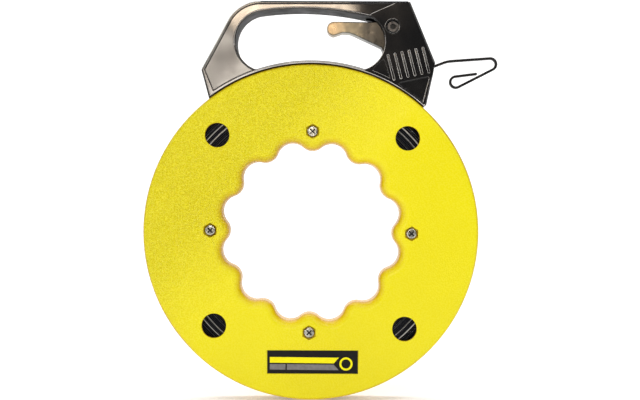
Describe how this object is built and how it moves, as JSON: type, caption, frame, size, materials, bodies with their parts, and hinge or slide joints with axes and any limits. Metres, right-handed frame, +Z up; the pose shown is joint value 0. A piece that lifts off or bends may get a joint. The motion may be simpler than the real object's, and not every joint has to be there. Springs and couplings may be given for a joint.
{
  "type": "draw tape reel",
  "caption": "Round two-part case that spins in a carrying handle, holding a coiled steel draw tape whose hooked end leaves through the handle's nose, with a squeeze lever that brakes the rim.",
  "frame": {"origin": "centre of the reel, on the mid-plane between the case's halves", "axes": "+Z up towards the handle, +Y along the reel axis to the rear, +X towards the tape's nose"},
  "size_m": [0.319, 0.0321, 0.3569],
  "materials": {
    "case_yellow": "fine spark-textured yellow moulding",
    "handle_black": "glossy black moulding",
    "lever_bronze": "bronze-tinted cast metal, satin",
    "zinc_screw": "bright zinc plate",
    "dark_screw": "black oxide",
    "label_black": "printed film, black with yellow and grey bars",
    "tape_steel": "blued spring steel",
    "bush_brass": "turned",
    "spring_steel": "drawn wire",
    "shoe_nylon": "natural acetal",
    "guide_steel": "hardened, plain",
    "pad_rubber": "moulded rubber"
  },
  "bodies": {
    "handle": {"handle_front": "handle_black", "handle_rear": "handle_black", "handle_screws": "dark_screw", "lever_pivot_bolt": "dark_screw", "lever_pivot_nut": "zinc_screw", "lever_bush": "bush_brass", "lever_spring": "spring_steel", "rim_shoe_left": "shoe_nylon", "rim_shoe_right": "shoe_nylon", "tape_guide": "guide_steel"},
    "reel": {"front_case": "case_yellow", "rear_case": "case_yellow", "case_screws": "zinc_screw", "case_nuts": "zinc_screw", "label_plate": "label_black", "tape_coil": "tape_steel", "tape_anchor": "tape_steel"},
    "lever": {"grip_lever": "lever_bronze", "brake_pads": "pad_rubber"},
    "tape": {"tape_leader": "tape_steel"}
  },
  "joints": [
    {"name": "reel_spin", "type": "hinge", "parent": "handle", "child": "reel", "pos_m": [0, 0, 0], "axis": [0, 1, 0], "continuous": true},
    {"name": "lever_squeeze", "type": "hinge", "parent": "handle", "child": "lever", "pos_m": [0.0734, 0, 0.1836], "axis": [0, 1, 0], "range_deg": [0, 9.5], "stiffness_Nm_per_rad": 1.5, "springref_deg": -11.46, "deforming": ["lever_spring"]},
    {"name": "tape_draw", "type": "slide", "parent": "handle", "child": "tape", "axis": [0.9367, 0, 0.3502], "range_m": [0, 0.06]}
  ]
}
